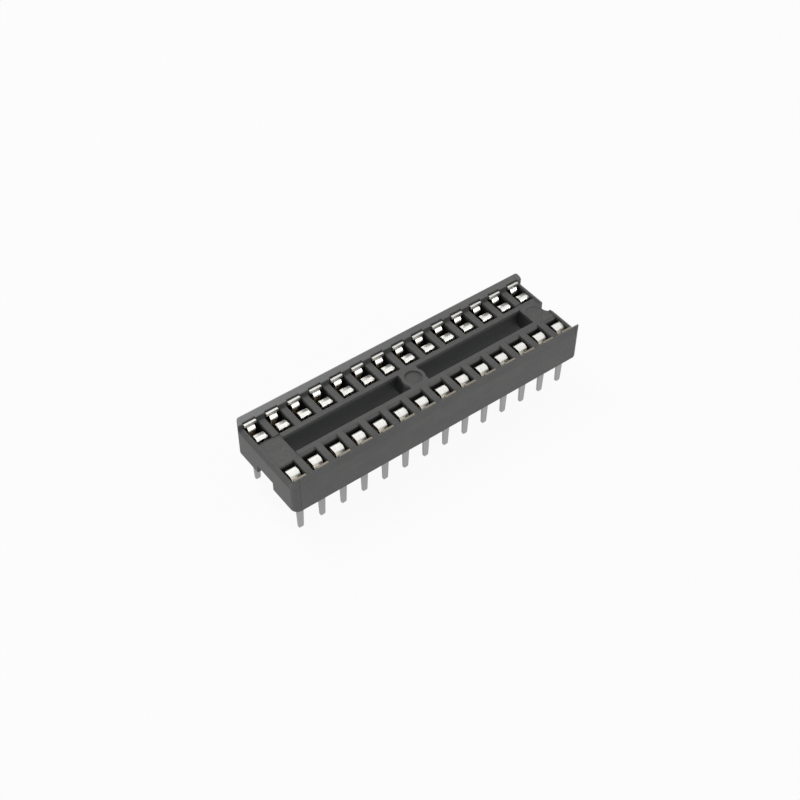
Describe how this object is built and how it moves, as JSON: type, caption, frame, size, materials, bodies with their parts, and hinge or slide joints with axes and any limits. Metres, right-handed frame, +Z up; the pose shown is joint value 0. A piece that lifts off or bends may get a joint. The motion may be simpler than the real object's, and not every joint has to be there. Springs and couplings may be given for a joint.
{
  "type": "ic socket",
  "caption": "Dual-row socket for a chip: moulded open frame with bridges and windows, twin-leaf stamped contacts in open cells, and flat solder tails below.",
  "frame": {"origin": "midway between the rows and midway along the socket, on the plane of the tail tips it stands on", "axes": "+X along the rows towards the end with the pin 1 notch, +Y across the rows, +Z up, the way a chip is pulled out"},
  "size_m": [0.0356, 0.0102, 0.0083],
  "materials": {
    "housing": "fine matt, charcoal glass-filled moulding",
    "contact": "bright tin plate over springy copper alloy"
  },
  "bodies": {
    "root": {"housing": "housing", "contact_01": "contact", "contact_02": "contact", "contact_03": "contact", "contact_04": "contact", "contact_05": "contact", "contact_06": "contact", "contact_07": "contact", "contact_08": "contact", "contact_09": "contact", "contact_10": "contact", "contact_11": "contact", "contact_12": "contact", "contact_13": "contact", "contact_14": "contact", "contact_15": "contact", "contact_16": "contact", "contact_17": "contact", "contact_18": "contact", "contact_19": "contact", "contact_20": "contact", "contact_21": "contact", "contact_22": "contact", "contact_23": "contact", "contact_24": "contact", "contact_25": "contact", "contact_26": "contact", "contact_27": "contact", "contact_28": "contact"}
  },
  "joints": []
}
